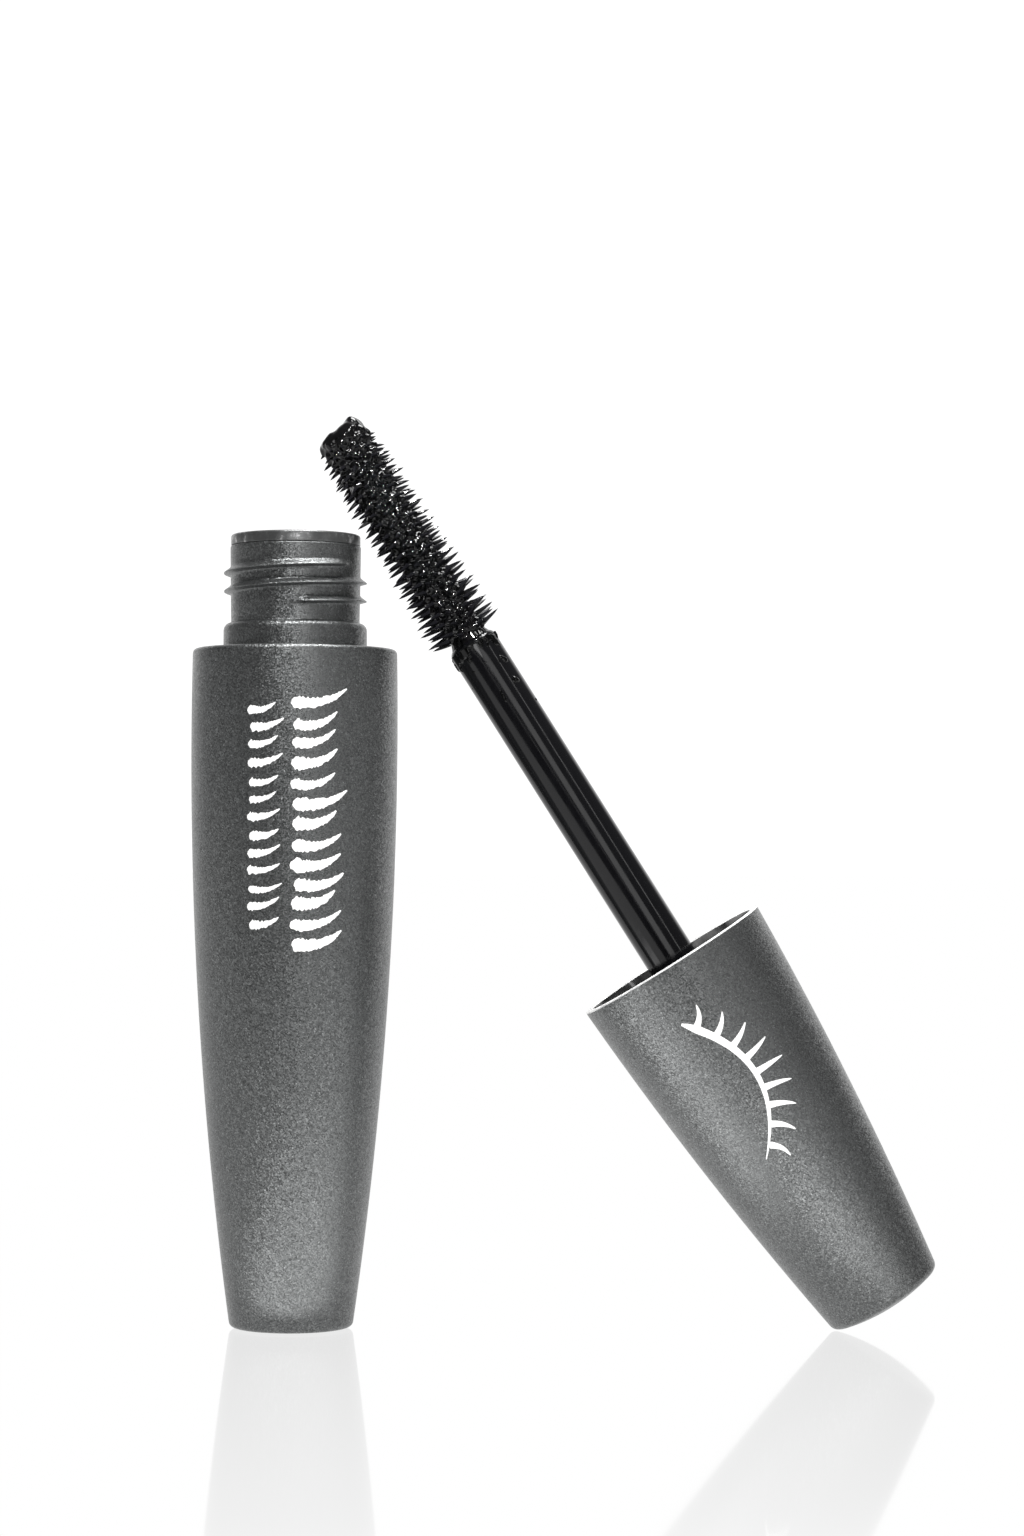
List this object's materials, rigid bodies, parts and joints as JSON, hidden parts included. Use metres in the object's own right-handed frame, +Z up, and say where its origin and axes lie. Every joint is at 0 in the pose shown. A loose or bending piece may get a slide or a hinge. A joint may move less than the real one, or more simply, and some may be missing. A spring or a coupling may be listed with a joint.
{
  "type": "mascara tube with applicator",
  "caption": "Standing mascara bottle with a threaded neck, and its screw-on cap with stem and bristle brush leaning on the neck.",
  "frame": {"origin": "centre of the bottle's flat foot, on the surface that it stands on", "axes": "+Z up along the bottle, +X towards the foot of the leaning applicator, +Y away from the front"},
  "size_m": [0.0897, 0.0248, 0.109],
  "materials": {
    "outer_tube": "satin charcoal metallic paint with a very fine sparkle",
    "inner_vial": "satin charcoal metallic paint on the collar, neck and thread",
    "wiper": "satin charcoal soft plastic, smooth",
    "mascara_fill": "wet black mascara paste",
    "cap_shell": "satin charcoal metallic paint with a very fine sparkle",
    "inner_cap": "gloss black moulded plastic",
    "seal_washer": "pale soft seal",
    "stem": "high gloss black plastic",
    "brush": "black moulded bristles wet with mascara"
  },
  "bodies": {
    "bottle": {"outer_tube": "outer_tube", "inner_vial": "inner_vial", "wiper": "wiper", "mascara_fill": "mascara_fill"},
    "seal": {"seal_washer": "seal_washer"},
    "applicator": {"cap_shell": "cap_shell", "inner_cap": "inner_cap", "stem": "stem", "brush": "brush"}
  },
  "joints": [
    {"name": "applicator_swing", "type": "hinge", "parent": "bottle", "child": "seal", "pos_m": [0.00343, 0, 0.10394], "axis": [0, -1, 0], "range_deg": [0, 147.5]},
    {"name": "cap_twist", "type": "hinge", "parent": "seal", "child": "applicator", "pos_m": [0.04553, 0, 0.04426], "axis": [-0.5373, 0, 0.8434], "continuous": true}
  ]
}
